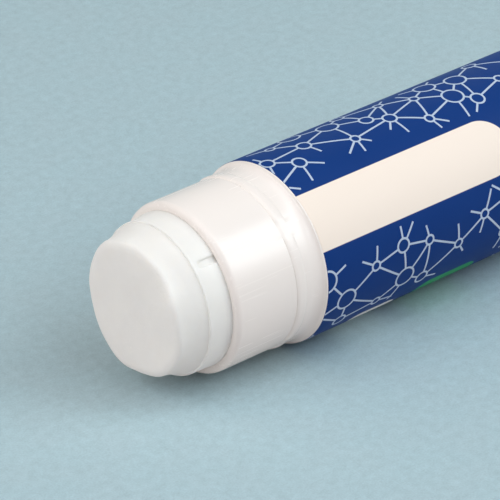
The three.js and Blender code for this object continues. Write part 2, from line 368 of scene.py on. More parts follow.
class Wires:
    """Adds nodes to a tree and links them."""

    def __init__(self, tree: bpy.types.NodeTree) -> None:
        """Keeps the tree."""
        self.tree = tree

    @classmethod
    def afresh(cls, owner: bpy.types.Material | bpy.types.World) -> "Wires":
        """Empties the node tree of a material or the world.

        Args:
            owner: the material or the world.

        Returns:
            The wires of its empty tree.
        """
        owner.use_nodes = True
        owner.node_tree.nodes.clear()
        return cls(owner.node_tree)

    def node(
        self, kind: str, feeds: dict[str | int, Value] | None = None, **settings: object
    ) -> bpy.types.Node:
        """Adds a node.

        Args:
            kind: its type.
            feeds: its inputs, as values or as sockets to link.
            settings: its own properties.

        Returns:
            The node.
        """
        made = self.tree.nodes.new(kind)
        for name, value in settings.items():
            setattr(made, name, value)
        for name, value in (feeds or {}).items():
            if isinstance(value, Socket):
                self.tree.links.new(value, made.inputs[name])
            else:
                made.inputs[name].default_value = value
        return made

    def math(self, operation: str, *values: Value) -> Socket:
        """A Math node over one or two values."""
        return self.node("ShaderNodeMath", dict(enumerate(values)), operation=operation).outputs[0]

    def spread(self, value: Value, lows: Span, highs: Span = (0, 1)) -> Socket:
        """Maps a value from one span to another, clamped."""
        feeds = {"Value": value, 1: lows[0], 2: lows[1], 3: highs[0], 4: highs[1]}
        return self.node("ShaderNodeMapRange", feeds).outputs["Result"]

    def blend(self, share: Value, first: Value, second: Value) -> Socket:
        """Mixes two colours."""
        return self.node("ShaderNodeMix", {0: share, 6: first, 7: second}, data_type="RGBA").outputs[2]

    def seen_ray(self) -> Socket:
        """1 for rays that see a backdrop directly or in a mirroring surface, and otherwise 0.

        Returns:
            The number.
        """
        rays = self.node("ShaderNodeLightPath").outputs
        mirrored = self.math("MAXIMUM", rays["Is Glossy Ray"], rays["Is Transmission Ray"])
        return self.math("MAXIMUM", rays["Is Camera Ray"], mirrored)

    def spot(self) -> Socket:
        """The place on the piece, in metres."""
        return self.node("ShaderNodeTexCoord").outputs["Object"]

    def noise(self, vector: Value, scale: Value, detail: Value = 2.0) -> Socket:
        """Noise from 0 to 1, its scale in features to a metre."""
        feeds = {"Vector": vector, "Scale": scale, "Detail": detail}
        return self.node("ShaderNodeTexNoise", feeds).outputs["Fac"]

    def bump(self, height: Value) -> Socket:
        """The normal that a height in metres gives."""
        return self.node("ShaderNodeBump", {"Height": height, "Distance": 1.0}).outputs[0]


class Effect:
    """A shader effect that gives one value, built once as a node group and placed in materials."""

    name = "effect"
    inputs: dict[str, str] = {}
    output = "Mask"

    def value(self, wires: Wires, inside: Sequence[Socket]) -> Socket:
        """Wires the new group from its inputs to its value."""
        raise NotImplementedError

    def group(self) -> bpy.types.ShaderNodeTree:
        """The node group, made when it is first asked for.

        Returns:
            The group.
        """
        made = bpy.data.node_groups.get(self.name)
        if made is None:
            made = bpy.data.node_groups.new(self.name, "ShaderNodeTree")
            for name, kind in self.inputs.items():
                made.interface.new_socket(name=name, in_out="INPUT", socket_type=kind)
            made.interface.new_socket(name=self.output, in_out="OUTPUT", socket_type="NodeSocketFloat")
            wires = Wires(made)
            inside = wires.node("NodeGroupInput").outputs
            wires.node("NodeGroupOutput", {self.output: self.value(wires, inside)})
        return made

    def use(self, wires: Wires, feeds: dict[str, Value]) -> Socket:
        """Places the group in a material and returns its value."""
        return wires.node("ShaderNodeGroup", feeds, node_tree=self.group()).outputs[self.output]


class Relief(Effect):
    """Unevenness of one size, as mould flow, grain and lumps leave it."""

    name = "relief"
    inputs = {
        "Vector": "NodeSocketVector",
        "Scale": "NodeSocketFloat",
        "Detail": "NodeSocketFloat",
        "Reach": "NodeSocketFloat",
    }
    output = "Height"

    def value(self, wires: Wires, inside: Sequence[Socket]) -> Socket:
        """Wires noise from 0 to its reach."""
        noise = wires.noise(inside["Vector"], inside["Scale"], inside["Detail"])
        return wires.math("MULTIPLY", noise, inside["Reach"])

    def over(self, wires: Wires, spot: Socket, scale: float, reach: float, detail: float = 2.0) -> Socket:
        """The relief over a piece, up to a height in metres or up to a share."""
        return self.use(wires, {"Vector": spot, "Scale": scale, "Detail": detail, "Reach": reach})


class FineMarks(Effect):
    """Fine lines that wear or moulding leaves in a surface, gathered in patches."""

    name = "fine_marks"
    inputs = {
        "Vector": "NodeSocketVector",
        "Line Vector": "NodeSocketVector",
        "Patch Scale": "NodeSocketFloat",
    }
    LINE_LEVELS = (0.62, 0.72)
    PATCH_LEVELS = (0.45, 0.7)

    def value(self, wires: Wires, inside: Sequence[Socket]) -> Socket:
        """Wires stretched noise, cut to lines and masked by a coarse noise.

        Args:
            wires: the group's nodes.
            inside: the group's inputs.

        Returns:
            1 on the lines and 0 between them.
        """
        lines = wires.noise(inside["Line Vector"], scale=1.0, detail=1.0)
        patches = wires.noise(inside["Vector"], inside["Patch Scale"], detail=1.0)
        cut = wires.spread(lines, self.LINE_LEVELS)
        return wires.math("MULTIPLY", cut, wires.spread(patches, self.PATCH_LEVELS))

    def along(self, wires: Wires, spot: Socket, stretch: tuple[float, ...], patch_scale: float) -> Socket:
        """The lines along the stick, from how many there are to a metre each way."""
        lines = wires.node("ShaderNodeMapping", {"Vector": spot, "Scale": stretch}).outputs[0]
        return self.use(wires, {"Vector": spot, "Line Vector": lines, "Patch Scale": patch_scale})


class PrintedPatch(Effect):
    """A rounded block of one ink on the unrolled film, in millimetres."""

    name = "printed_patch"
    inputs = dict.fromkeys(
        ["Arc", "Along", "Arc Centre", "Along Centre", "Half Arc", "Half Along", "Corner"],
        "NodeSocketFloat",
    )
    EDGE = 0.04

    def value(self, wires: Wires, inside: Sequence[Socket]) -> Socket:
        """Wires the distance to a rounded rectangle and cuts it at its edge.

        Args:
            wires: the group's nodes.
            inside: the group's inputs.

        Returns:
            1 inside the block and 0 outside it.
        """
        sides = []
        for way in ("Arc", "Along"):
            off = wires.math("ABSOLUTE", wires.math("SUBTRACT", inside[way], inside[f"{way} Centre"]))
            straight = wires.math("SUBTRACT", inside[f"Half {way}"], inside["Corner"])
            sides.append(wires.math("SUBTRACT", off, straight))
        outside = [wires.math("MAXIMUM", side, 0.0) for side in sides]
        squares = [wires.math("MULTIPLY", side, side) for side in outside]
        reach = wires.math("SQRT", wires.math("ADD", *squares))
        inner = wires.math("MINIMUM", wires.math("MAXIMUM", *sides), 0.0)
        distance = wires.math("SUBTRACT", wires.math("ADD", reach, inner), inside["Corner"])
        return wires.spread(distance, (-self.EDGE, self.EDGE), (1, 0))


RELIEF = Relief()
FINE_MARKS = FineMarks()
PRINTED_PATCH = PrintedPatch()


@dataclass(frozen=True)
class Finish:
    """A finish, which builds its material once."""

    name: str
    slot: str

    def dress(self, piece: Piece) -> None:
        """Gives a piece this finish alone.

        Args:
            piece: the piece.
        """
        made = bpy.data.materials.get(self.name)
        if made is None:
            made = bpy.data.materials.new(self.name)
            wires = Wires.afresh(made)
            shader = wires.node("ShaderNodeBsdfPrincipled", self.feeds(wires))
            wires.node("ShaderNodeOutputMaterial", {"Surface": shader.outputs[0]})
        piece.data.materials.clear()
        piece.data.materials.append(made)

    def feeds(self, wires: Wires) -> dict[str, Value]:
        """Wires what goes into the material's Principled shader."""
        raise NotImplementedError


@dataclass(frozen=True)
class MouldedPlastic(Finish):
    """Glossy moulded plastic with a soft flow ripple and fine lines along the stick."""

    colour: Colour = (0.955, 0.875, 0.82, 1)
    shade_colour: Colour = (0.93, 0.85, 0.795, 1)
    roughness: float = 0.25
    worn_roughness: float = 0.38
    refraction: float = 1.49
    ripple_height: float = 0.012 * MM
    mark_height: float = 0.004 * MM
    subsurface: float = 0.12
    subsurface_tint: tuple[float, float, float] = (1.0, 0.95, 0.9)
    subsurface_depth: float = 0.7 * MM
    drift_scale: float = 70
    ripple_scale: float = 260
    patch_scale: float = 120
    lines_to_metre: tuple[float, float, float] = (60, 3200, 3200)

    def feeds(self, wires: Wires) -> dict[str, Value]:
        """Wires drift of tone, flow ripple and fine lines.

        Args:
            wires: the material's nodes.

        Returns:
            The shader's inputs.
        """
        spot = wires.spot()
        drift = wires.noise(spot, self.drift_scale)
        marks = FINE_MARKS.along(wires, spot, self.lines_to_metre, self.patch_scale)
        ripple = RELIEF.over(wires, spot, self.ripple_scale, self.ripple_height)
        height = wires.math("SUBTRACT", ripple, wires.math("MULTIPLY", marks, self.mark_height))
        return {
            "Base Color": wires.blend(drift, self.colour, self.shade_colour),
            "Roughness": wires.spread(marks, (0, 1), (self.roughness, self.worn_roughness)),
            "Normal": wires.bump(height),
            "IOR": self.refraction,
            "Subsurface Weight": self.subsurface,
            "Subsurface Radius": self.subsurface_tint,
            "Subsurface Scale": self.subsurface_depth,
        }


@dataclass(frozen=True)
class WaxyGlue(Finish):
    """Soft, slightly translucent solid glue, with drier patches, lumps, grain and drag marks."""

    colour: Colour = (0.9, 0.875, 0.83, 1)
    dry_colour: Colour = (0.875, 0.85, 0.81, 1)
    dry_levels: Span = (0.35, 0.65)
    roughness: float = 0.42
    dry_roughness: float = 0.6
    refraction: float = 1.45
    subsurface: float = 0.5
    subsurface_tint: tuple[float, float, float] = (1.0, 0.95, 0.88)
    subsurface_depth: float = 1.6 * MM
    patch_scale: float = 230
    grain_scale: float = 1500
    grain_height: float = 0.012 * MM
    lump_scale: float = 420
    lump_height: float = 0.05 * MM
    drag_height: float = 0.02 * MM
    drag_patch_scale: float = 260
    drags_to_metre: tuple[float, float, float] = (90, 2600, 2600)

    def feeds(self, wires: Wires) -> dict[str, Value]:
        """Wires patches, small lumps, grain and drag marks.

        Args:
            wires: the material's nodes.

        Returns:
            The shader's inputs.
        """
        spot = wires.spot()
        dry = wires.spread(wires.noise(spot, self.patch_scale, detail=4.0), self.dry_levels)
        drag = FINE_MARKS.along(wires, spot, self.drags_to_metre, self.drag_patch_scale)
        lumps = RELIEF.over(wires, spot, self.lump_scale, self.lump_height, detail=3.0)
        grain = RELIEF.over(wires, spot, self.grain_scale, self.grain_height)
        furrows = wires.math("MULTIPLY", drag, self.drag_height)
        return {
            "Base Color": wires.blend(dry, self.colour, self.dry_colour),
            "Roughness": wires.spread(dry, (0, 1), (self.roughness, self.dry_roughness)),
            "Normal": wires.bump(wires.math("SUBTRACT", wires.math("ADD", lumps, grain), furrows)),
            "IOR": self.refraction,
            "Subsurface Weight": self.subsurface,
            "Subsurface Radius": self.subsurface_tint,
            "Subsurface Scale": self.subsurface_depth,
        }


@dataclass(frozen=True)
class PatchOfInk:
    """Where one block of ink lies on the unrolled film, in millimetres.

    Args:
        colour: of the ink.
        centre_degrees: of the block round the stick, from the top towards -Y.
        half_arc: half of its width round the stick.
        start: behind the film's front edge.
        end: behind the film's front edge.
        corner: radius of its corners.
    """

    colour: Colour
    centre_degrees: float
    half_arc: float
    start: float
    end: float
    corner: float

    def arc_centre(self, radius_mm: float) -> float:
        """Its centre round the stick, as a length on the film."""
        return math.radians(self.centre_degrees) * radius_mm

    def holds(self, arc: float, along: float, radius_mm: float, margin: float) -> bool:
        """Whether a point of the unrolled film lies in it or within a margin of it.

        Args:
            arc: the point's length round the film, from the top towards -Y.
            along: its length behind the film's front edge.
            radius_mm: the film's radius.
            margin: how far outside the block still counts, or less than 0 for how far inside.

        Returns:
            True where it does.
        """
        turn = math.tau * radius_mm
        off = (arc - self.arc_centre(radius_mm) + turn / 2) % turn - turn / 2
        across = abs(off) < self.half_arc + margin
        return across and self.start - margin < along < self.end + margin


@dataclass(frozen=True)
class PrintedFilm(Finish):
    """Blue printed film with blocks of other inks, each over the ones before, under a varnish."""

    places: StickFrame
    patches: tuple[PatchOfInk, ...]
    ground: Colour = (0.004, 0.035, 0.175, 1)
    drift_ground: Colour = (0.005, 0.041, 0.2, 1)
    drift_levels: Span = (0.3, 0.7)
    roughness: Span = (0.43, 0.53)
    refraction: float = 1.33
    specular: float = 0.2
    drift_scale: float = 90
    ripple_scale: float = 300
    ripple_height: float = 0.01 * MM

    def feeds(self, wires: Wires) -> dict[str, Value]:
        """Wires the unrolled film's two measures, the blocks of ink and the varnish.

        Args:
            wires: the material's nodes.

        Returns:
            The shader's inputs.
        """
        spot = wires.spot()
        parts = wires.node("ShaderNodeSeparateXYZ", {0: spot}).outputs
        up = wires.math("SUBTRACT", parts["Z"], self.places.axis_height)
        turn = wires.math("ARCTAN2", wires.math("MULTIPLY", parts["Y"], -1.0), up)
        radius_mm = self.places.film_radius / MM
        arc = wires.math("MULTIPLY", turn, radius_mm)
        along = wires.math("DIVIDE", wires.math("SUBTRACT", parts["X"], self.places.film_front), MM)
        drift = wires.noise(spot, self.drift_scale)
        colour = wires.blend(drift, self.ground, self.drift_ground)
        for patch in self.patches:
            sizes = {
                "Arc": arc,
                "Along": along,
                "Arc Centre": patch.arc_centre(radius_mm),
                "Along Centre": (patch.start + patch.end) / 2,
                "Half Arc": patch.half_arc,
                "Half Along": (patch.end - patch.start) / 2,
                "Corner": patch.corner,
            }
            colour = wires.blend(PRINTED_PATCH.use(wires, sizes), colour, patch.colour)
        return {
            "Base Color": colour,
            "Roughness": wires.spread(drift, self.drift_levels, self.roughness),
            "Normal": wires.bump(RELIEF.over(wires, spot, self.ripple_scale, self.ripple_height, detail=1.0)),
            "IOR": self.refraction,
            "Specular IOR Level": self.specular,
        }


@dataclass(frozen=True)
class LineInk(Finish):
    """Pale, unevenly printed ink of the lines, under the same varnish as the film."""

    colour: Colour = (0.52, 0.61, 0.73, 1)
    thin_colour: Colour = (0.44, 0.53, 0.68, 1)
    roughness: Span = (0.48, 0.53)
    refraction: float = 1.5
    specular: float = 0.2
    thin_scale: float = 1400

    def feeds(self, wires: Wires) -> dict[str, Value]:
        """Wires an uneven ink.

        Args:
            wires: the material's nodes.

        Returns:
            The shader's inputs.
        """
        thin = wires.noise(wires.spot(), self.thin_scale)
        return {
            "Base Color": wires.blend(thin, self.colour, self.thin_colour),
            "Roughness": wires.spread(thin, (0, 1), self.roughness),
            "IOR": self.refraction,
            "Specular IOR Level": self.specular,
        }


@dataclass(frozen=True)
class TableTop(Finish):
    """Pale table top with a fine grain, which throws neutral light back on the stick.

    Its slot is empty, because the table is no part of the stick.
    """

    colour: Colour = (0.52, 0.7, 0.75, 1)
    grain_colour: Colour = (0.285, 0.378, 0.41, 1)
    drift_colour: Colour = (0.525, 0.688, 0.735, 1)
    drift_levels: Span = (0.35, 0.65)
    bounce_colour: Colour = (0.58, 0.57, 0.575, 1)
    roughness: float = 0.75
    specular: float = 0.25
    fine_scale: float = 3600
    fine_share: float = 0.55
    coarse_scale: float = 750
    coarse_share: float = 0.45
    drift_scale: float = 150

    def feeds(self, wires: Wires) -> dict[str, Value]:
        """Wires grain of two sizes over a drift of tone.

        Args:
            wires: the material's nodes.

        Returns:
            The shader's inputs.
        """
        spot = wires.spot()
        fine = RELIEF.over(wires, spot, self.fine_scale, self.fine_share, detail=3.0)
        coarse = RELIEF.over(wires, spot, self.coarse_scale, self.coarse_share, detail=3.0)
        drift = wires.spread(wires.noise(spot, self.drift_scale), self.drift_levels)
        ground = wires.blend(drift, self.colour, self.drift_colour)
        seen = wires.blend(wires.math("ADD", fine, coarse), ground, self.grain_colour)
        return {
            "Base Color": wires.blend(wires.seen_ray(), self.bounce_colour, seen),
            "Roughness": self.roughness,
            "Specular IOR Level": self.specular,
        }


@dataclass
class SubAssembly:
    """What every sub-assembly has: the bench that it is made on and its finish."""

    bench: Bench
    finish: Finish

    @property
    def places(self) -> StickFrame:
        """The stick's places."""
        return self.bench.places

    def report(self, piece: Piece, body: str, *nodes: str) -> None:
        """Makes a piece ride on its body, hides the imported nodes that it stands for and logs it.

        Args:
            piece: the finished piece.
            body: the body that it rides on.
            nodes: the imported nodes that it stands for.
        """
        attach(piece, body)
        if nodes:
            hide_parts(*nodes)
        LOG.info("%s: %d faces on %s", piece.name, len(piece.data.polygons), body)


@dataclass
class Barrel(SubAssembly):
    """The moulded barrel: neck, land and bead for the cap, flare, film recess, bore and ribs."""

    sides: int = 240
    bore_radius: float = 11.0 * MM
    neck_radius: float = 12.1 * MM
    land_radius: float = 12.2 * MM
    recess_radius: float = 12.75 * MM
    rim_radius: float = 12.96 * MM
    rim_width: float = 0.2 * MM
    rim_rounding: float = 0.12 * MM
    film_gap: float = 0.015 * MM
    flare_top: float = 12.86 * MM
    flare_start: float = 0.24 * MM
    flare_end: float = 2.0 * MM
    flare_degrees: float = 84
    flare_steps: int = 12
    bead_centre: float = 4.22 * MM
    bead_front: float = 0.5 * MM
    bead_rear: float = 1.15 * MM
    bead_height: float = 0.15 * MM
    bead_steps: int = 12
    bead_gaps: int = 4
    bead_gap_degrees: float = 44.25
    bead_gap_half_degrees: float = 4.6
    mouth_rounding: float = 0.85 * MM
    mouth_lead: float = 0.02 * MM
    rear_lip: float = 1.2 * MM
    rear_rounding: float = 0.35 * MM
    catch_centre: float = 2.8 * MM
    catch_width: float = 1.2 * MM
    catch_height: float = 0.45 * MM
    rib_degrees: Span = (43.0, -137.0)
    rib_half_width: float = 0.48 * MM
    rib_height: float = 0.26 * MM
    rib_front_setback: float = 7.4 * MM
    rib_rear_setback: float = 5.3 * MM
    ring_pitch: float = 1.5 * MM

    def build(self) -> None:
        """Builds the barrel."""
        piece = self.bench.turn("barrel_shell", self.profile(), self.sides)
        self.flatten_bead_gaps()
        self.raise_guide_ribs()
        self.bench.put_down(piece, self.finish)
        self.report(piece, "barrel", "barrel")

    @property
    def step(self) -> float:
        """Where the outside steps down in front of the film."""
        return self.places.film_front - self.film_gap

    def profile(self) -> list[Corner]:
        """The outline from the rear end over the outside to the mouth, and back through the bore.

        Returns:
            The corners in order.
        """
        places, bore, pitch, step = self.places, self.bore_radius, self.ring_pitch, self.step
        rear, mouth = places.barrel_rear, places.mouth
        lip = rear - self.rear_lip
        start = Corner(bore + self.rear_rounding, rear)
        return [
            start,
            Corner(places.film_radius, rear, self.rear_rounding),
            Corner(places.film_radius, lip),
            Corner(self.recess_radius, lip),
            Corner(self.recess_radius, step, pitch=pitch),
            Corner(self.rim_radius, step, self.film_gap),
            Corner(self.rim_radius, step - self.rim_width, self.rim_rounding),
            *self.flare(),
            *self.bead(),
            Corner(self.neck_radius, mouth, self.mouth_rounding, pitch=pitch, arc_steps=10),
            Corner(bore, mouth, self.mouth_lead),
            Corner(bore, mouth + self.rib_front_setback, pitch=pitch),
            Corner(bore, rear - self.rib_rear_setback, pitch=pitch),
            *self.catch_bead(rear - self.catch_centre),
            Corner(bore, rear - self.rear_rounding),
            start,
        ]

    def flare(self) -> list[Corner]:
        """Corners of the hollow flare in front of the film, steepest at its rim.

        Returns:
            The corners from its rim to the land.
        """
        full = math.radians(self.flare_degrees)
        rise = self.flare_top - self.land_radius
        length = self.flare_end - self.flare_start
        corners = []
        for index in range(self.flare_steps + 1):
            turn = full * (1 - index / self.flare_steps)
            out = math.sin(turn) / math.sin(full)
            up = (1 - math.cos(turn)) / (1 - math.cos(full))
            x = self.step - self.flare_end + length * out
            corners.append(Corner(self.land_radius + rise * up, x))
        return corners

    def bead(self) -> list[Corner]:
        """Corners over the cap's bead, which steps down from the land to the neck.

        Returns:
            The corners from the land to the neck.
        """
        corners = []
        for turn in self.bead_turns():
            reach = self.bead_rear if math.cos(turn) > 0 else self.bead_front
            x = self.step - self.bead_centre + reach * math.cos(turn)
            corners.append(Corner(self.bead_base(turn) + self.bead_height * math.sin(turn), x))
        return corners

    def bead_turns(self) -> list[float]:
        """The angles over a bead, half a turn in all."""
        return [math.pi * index / self.bead_steps for index in range(self.bead_steps + 1)]

    def bead_base(self, turn: float) -> float:
        """The radius under the bead, which steps from the land to the neck on its front side."""
        return self.land_radius + (self.neck_radius - self.land_radius) * max(-math.cos(turn), 0.0)

    def catch_bead(self, centre: float) -> list[Corner]:
        """Corners over the bead in the bore that holds the knob.

        Args:
            centre: its middle, by x.

        Returns:
            The corners from its front to its rear.
        """
        half, high = self.catch_width / 2, self.catch_height
        return [
            Corner(self.bore_radius - high * math.sin(turn), centre - half * math.cos(turn))
            for turn in self.bead_turns()
        ]

    def flatten_bead_gaps(self) -> None:
        """Presses the cap's bead flat in its gaps, and half flat at their ends."""
        first = math.radians(self.bead_gap_degrees)
        middles = tuple(first + math.tau * gap / self.bead_gaps for gap in range(self.bead_gaps))
        half = math.radians(self.bead_gap_half_degrees)
        for reach, depth in ((half, 1.0), (half + math.tau / self.sides, 0.5)):
            for turn, corner in list(zip(self.bead_turns(), self.bead()))[1:-1]:
                pressed = corner.radius + (self.bead_base(turn) - corner.radius) * depth
                gaps = Zone.ring(corner.radius, corner.x, middles, reach)
                self.bench.press(gaps.holds, pressed / corner.radius)

    def raise_guide_ribs(self) -> None:
        """Raises the two ribs in the bore that keep the glue from turning."""
        bore = self.bore_radius
        front = self.places.mouth + self.rib_front_setback
        rear = self.places.barrel_rear - self.rib_rear_setback
        for degrees in self.rib_degrees:
            under = Zone((front, rear), (bore, bore), (math.radians(degrees),), self.rib_half_width / bore)
            self.bench.raise_faces(under, 1 - self.rib_height / bore)


@dataclass
class Knot:
    """A ring of the network: its spot on the flat sheet, its size and the lines that leave it."""

    spot: Vector
    size: int
    radius: float
    headings: list[float] = field(default_factory=list)


@dataclass
class NetworkLayout:
    """Sets out the printed network on the unrolled film: rings, bars between them and loose ends.

    Args:
        places: the stick's places.
        patches: the blocks of ink that it stays clear of.
    """

    places: StickFrame
    patches: tuple[PatchOfInk, ...]
    ring_sizes: tuple[float, ...] = (1.55 * MM, 1.0 * MM, 0.68 * MM)
    ring_shares: tuple[float, ...] = (0.24, 0.38, 0.38)
    spacing: float = 5.3 * MM
    first_column: float = 0.25
    jitter: float = 1.15 * MM
    quiet_degrees: Span = (-54.0, -26.0)
    patch_margin: float = 1.3 * MM
    reach: float = 1.42
    skipped_share: float = 0.14
    fewest_degrees: float = 36
    end_tries: int = 4
    enough_lines: int = 3
    end_length: Span = (1.5 * MM, 3.0 * MM)
    hooked_share: float = 0.3
    seed: int = 7

    def __post_init__(self) -> None:
        """Draws the whole layout."""
        self.draw = random.Random(self.seed)
        self.bars: list[tuple[Vector, Vector]] = []
        self.hooks: list[tuple[Vector, float]] = []
        self.all_knots = self.scatter()
        self.knots = [knot for knot in self.all_knots if self.is_free(knot.spot, knot.radius)]
        self.join_knots()
        self.add_loose_ends()

    def scatter(self) -> list[Knot]:
        """Knots on a jittered grid over the sheet and a little beyond its edges.

        Returns:
            The knots, row by row.
        """
        half_turn = math.pi * self.places.film_radius
        columns = round(2 * half_turn / self.spacing)
        pitch = 2 * half_turn / columns
        row_pitch = self.spacing * math.sqrt(3) / 2
        length = self.places.film_rear - self.places.film_front
        knots = []
        for row in range(-1, math.ceil(length / row_pitch) + 2):
            for column in range(columns):
                shift = 0.5 if row % 2 else 0.0
                arc = -half_turn + (column + self.first_column + shift) * pitch + self.wobble()
                along = self.places.film_front + row * row_pitch + self.wobble()
                size = self.draw.choices(range(len(self.ring_sizes)), self.ring_shares)[0]
                knots.append(Knot(Vector((arc, along)), size, self.ring_sizes[size]))
        return knots

    def wobble(self) -> float:
        """A random step within the jitter."""
        return self.draw.uniform(-self.jitter, self.jitter)

    def is_free(self, spot: Vector, radius: float) -> bool:
        """Whether a ring there stays clear of the quiet stretch and of the blocks of ink.

        Args:
            spot: its middle on the flat sheet.
            radius: its radius.

        Returns:
            True where it does.
        """
        low, high = self.quiet_degrees
        if low < math.degrees(spot.x / self.places.film_radius) < high:
            return False
        along = (spot.y - self.places.film_front) / MM
        margin = (self.patch_margin + radius) / MM
        radius_mm = self.places.film_radius / MM
        return not any(patch.holds(spot.x / MM, along, radius_mm, margin) for patch in self.patches)

    def join_knots(self) -> None:
        """Joins near knots with bars that neither cross nor crowd each other."""
        pairs = [
            (first, second)
            for first, second in combinations(self.all_knots, 2)
            if (first.spot - second.spot).length < self.spacing * self.reach
        ]
        self.draw.shuffle(pairs)
        free = {id(knot) for knot in self.knots}
        joined: list[tuple[Knot, Knot]] = []
        for first, second in pairs:
            kept = [knot for knot in (first, second) if id(knot) in free]
            if not kept or self.draw.random() < self.skipped_share:
                continue
            way = second.spot - first.spot
            heading = math.atan2(way.y, way.x)
            crowded = self.is_crowded(first, heading) or self.is_crowded(second, heading + math.pi)
            if crowded or self.crosses(first, second, joined):
                continue
            if len(kept) == 2:
                joined.append((first, second))
                self.lay_bar(first, second, heading)
            else:
                self.lay_end(kept[0], heading if kept[0] is first else heading + math.pi)

    def is_crowded(self, knot: Knot, heading: float) -> bool:
        """Whether a line already leaves the knot too near a heading."""
        fewest = math.radians(self.fewest_degrees)
        return any(angle_apart(heading, other) < fewest for other in knot.headings)

    def crosses(self, first: Knot, second: Knot, joined: list[tuple[Knot, Knot]]) -> bool:
        """Whether a bar between two knots would cross one that is there.

        Args:
            first: one knot.
            second: the other knot.
            joined: the pairs of knots that bars join already.

        Returns:
            True where it would.
        """
        return any(
            first not in pair
            and second not in pair
            and intersect_line_line_2d(first.spot, second.spot, pair[0].spot, pair[1].spot)
            for pair in joined
        )

    def lay_bar(self, first: Knot, second: Knot, heading: float) -> None:
        """Lays a bar between the rims of two rings.

        Args:
            first: one ring.
            second: the other ring.
            heading: from the first to the second.
        """
        way = Vector((math.cos(heading), math.sin(heading)))
        self.bars.append((first.spot + way * first.radius, second.spot - way * second.radius))
        first.headings.append(heading)
        second.headings.append(heading + math.pi)

    def lay_end(self, knot: Knot, heading: float) -> Vector | None:
        """Lays a loose end on a ring if it stays clear of the blocks of ink.

        Args:
            knot: the ring that it leaves.
            heading: where it points.

        Returns:
            Its far end, or None if there is no room.
        """
        way = Vector((math.cos(heading), math.sin(heading)))
        far = knot.spot + way * (knot.radius + self.draw.uniform(*self.end_length))
        if not self.is_free(far, -self.patch_margin / 2):
            return None
        self.bars.append((knot.spot + way * knot.radius, far))
        knot.headings.append(heading)
        return far

    def add_loose_ends(self) -> None:
        """Gives knots with few lines a loose end, some of them with a hook."""
        for knot in self.knots:
            for _ in range(self.end_tries):
                if len(knot.headings) >= self.enough_lines:
                    break
                heading = self.draw.uniform(0, math.tau)
                if self.is_crowded(knot, heading):
                    continue
                far = self.lay_end(knot, heading)
                if far is not None and self.draw.random() < self.hooked_share:
                    self.hooks.append((far, heading))


@dataclass
class Label(SubAssembly):
    """The printed film: a tube with an overlap at its back."""

    sides: int = 240
    thickness: float = 0.2 * MM
    edge_rounding: float = 0.02 * MM
    overlap_degrees: Span = (176.0, 188.0)
    overlap_rise: float = 0.05 * MM
    ring_pitch: float = 2.0 * MM

    def build(self) -> None:
        """Builds the film's tube and raises its overlap."""
        outer, edge = self.places.film_radius, self.edge_rounding
        inner = outer - self.thickness
        front, rear = self.places.film_front, self.places.film_rear
        start = Corner(inner, rear)
        profile = [
            start,
            Corner(outer, rear, edge, arc_steps=3),
            Corner(outer, front, edge, pitch=self.ring_pitch, arc_steps=3),
            Corner(inner, front),
            start,
        ]
        piece = self.bench.turn("label_sheet", profile, self.sides)
        low, high = (math.radians(degrees) for degrees in self.overlap_degrees)
        overlap = Zone(radius=(outer, math.inf), middles=((low + high) / 2,), half=(high - low) / 2)
        self.bench.raise_faces(overlap, 1 + self.overlap_rise / outer)
        self.bench.put_down(piece, self.finish)
        self.report(piece, "barrel", "label_film")


